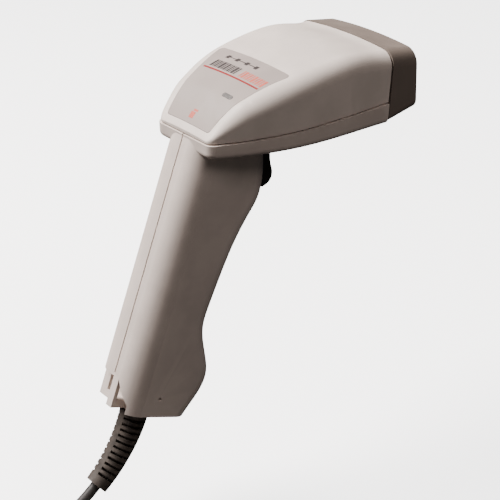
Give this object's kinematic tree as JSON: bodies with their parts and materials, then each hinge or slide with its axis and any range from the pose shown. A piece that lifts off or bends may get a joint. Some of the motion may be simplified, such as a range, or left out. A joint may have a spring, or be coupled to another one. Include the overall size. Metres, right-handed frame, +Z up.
{
  "type": "handheld barcode scanner",
  "caption": "Pistol-grip laser barcode scanner: teardrop head with taupe front ring, trigger, raked handle with hang loop, slotted strain relief and coiled serial cable.",
  "frame": {"origin": "centre of the grip, where the hand closes round the handle", "axes": "+X forward, the way the scanner points; +Y to its left; +Z up, with the head level"},
  "size_m": [0.3497, 0.088, 0.2369],
  "materials": {
    "cover_plastic": "fine texture, warm light grey",
    "housing_plastic": "fine texture, warm light grey",
    "bezel_plastic": "fine texture, taupe",
    "window": "polished red filter",
    "gasket": "matt",
    "label": "satin film, warm grey",
    "lens": "smoked, polished",
    "trigger_plastic": "fine texture, black",
    "steel": "plated",
    "spring": "spring wire",
    "switch_plastic": "moulded",
    "plunger": "moulded",
    "alloy": "die cast",
    "brass": "turned",
    "mirror": "front silvered",
    "copper": "enamelled winding",
    "lens_glass": "polished",
    "filter_glass": "coated",
    "board": "solder mask",
    "chip": "moulded package",
    "flex": "polyimide film",
    "led": "clear resin",
    "beeper": "moulded",
    "jack": "moulded",
    "plug": "clear moulding",
    "boot": "moulded, matt",
    "cable": "jacket, satin",
    "tie": "hook and loop strap",
    "hood": "moulded, putty grey",
    "insert": "moulded",
    "contact": "gold flashed"
  },
  "bodies": {
    "scanner": {"top_cover": "cover_plastic", "left_housing": "housing_plastic", "right_housing": "housing_plastic", "front_bezel": "bezel_plastic", "exit_window": "window", "window_gasket": "gasket", "label_overlay": "label", "indicator_lens": "lens", "trigger_pin": "steel", "trigger_spring": "spring", "trigger_switch": "switch_plastic", "housing_screws": "steel", "cover_screws": "steel", "engine_chassis": "alloy", "chassis_grommets": "gasket", "chassis_screws": "steel", "mirror_pin": "steel", "drive_coil": "copper", "laser_barrel": "brass", "laser_diode": "steel", "collimator_lens": "lens_glass", "collecting_mirror": "mirror", "photodiode": "chip", "optical_filter": "filter_glass", "main_board": "board", "main_chips": "chip", "board_screws": "steel", "indicator_board": "board", "indicator_screws": "steel", "indicator_led": "led", "beeper": "beeper", "handle_board": "board", "handle_chips": "chip", "ribbon_cable": "flex", "modular_jack": "jack", "modular_plug": "plug", "strain_relief": "boot", "cord_tube": "cable", "cord_coil": "cable", "cord_tail": "cable", "coil_tie": "tie", "connector_relief": "boot", "connector_hood": "hood", "connector_shell": "steel", "connector_insert": "insert", "connector_contacts": "contact"},
    "trigger": {"trigger": "trigger_plastic"},
    "plunger": {"switch_plunger": "plunger"},
    "mirror": {"mirror_hub": "switch_plastic", "scan_mirror": "mirror"},
    "jack_screw_left": {"thumbscrew_left": "steel"},
    "jack_screw_right": {"thumbscrew_right": "steel"}
  },
  "joints": [
    {"name": "trigger_pull", "type": "hinge", "parent": "scanner", "child": "trigger", "pos_m": [0.047, 0, 0.0605], "axis": [0, 1, 0], "range_deg": [0, 8], "stiffness_Nm_per_rad": 0.05, "springref_deg": -17.19},
    {"name": "plunger_travel", "type": "slide", "parent": "scanner", "child": "plunger", "axis": [-0.9212, 0, 0.3891], "range_m": [0, 0.0027]},
    {"name": "mirror_scan", "type": "hinge", "parent": "scanner", "child": "mirror", "pos_m": [0.068, 0, 0.074], "axis": [0, 0, 1], "range_deg": [-10, 10], "stiffness_Nm_per_rad": 0.002},
    {"name": "jack_screw_left_turn", "type": "hinge", "parent": "scanner", "child": "jack_screw_left", "pos_m": [-0.075, -0.0155, -0.1316], "axis": [1, 0, 0], "continuous": true},
    {"name": "jack_screw_right_turn", "type": "hinge", "parent": "scanner", "child": "jack_screw_right", "pos_m": [-0.075, -0.0405, -0.1316], "axis": [1, 0, 0], "continuous": true}
  ],
  "couplings": [
    {"joint": "plunger_travel", "follows": "trigger_pull", "m_per_rad": 0.0185}
  ]
}
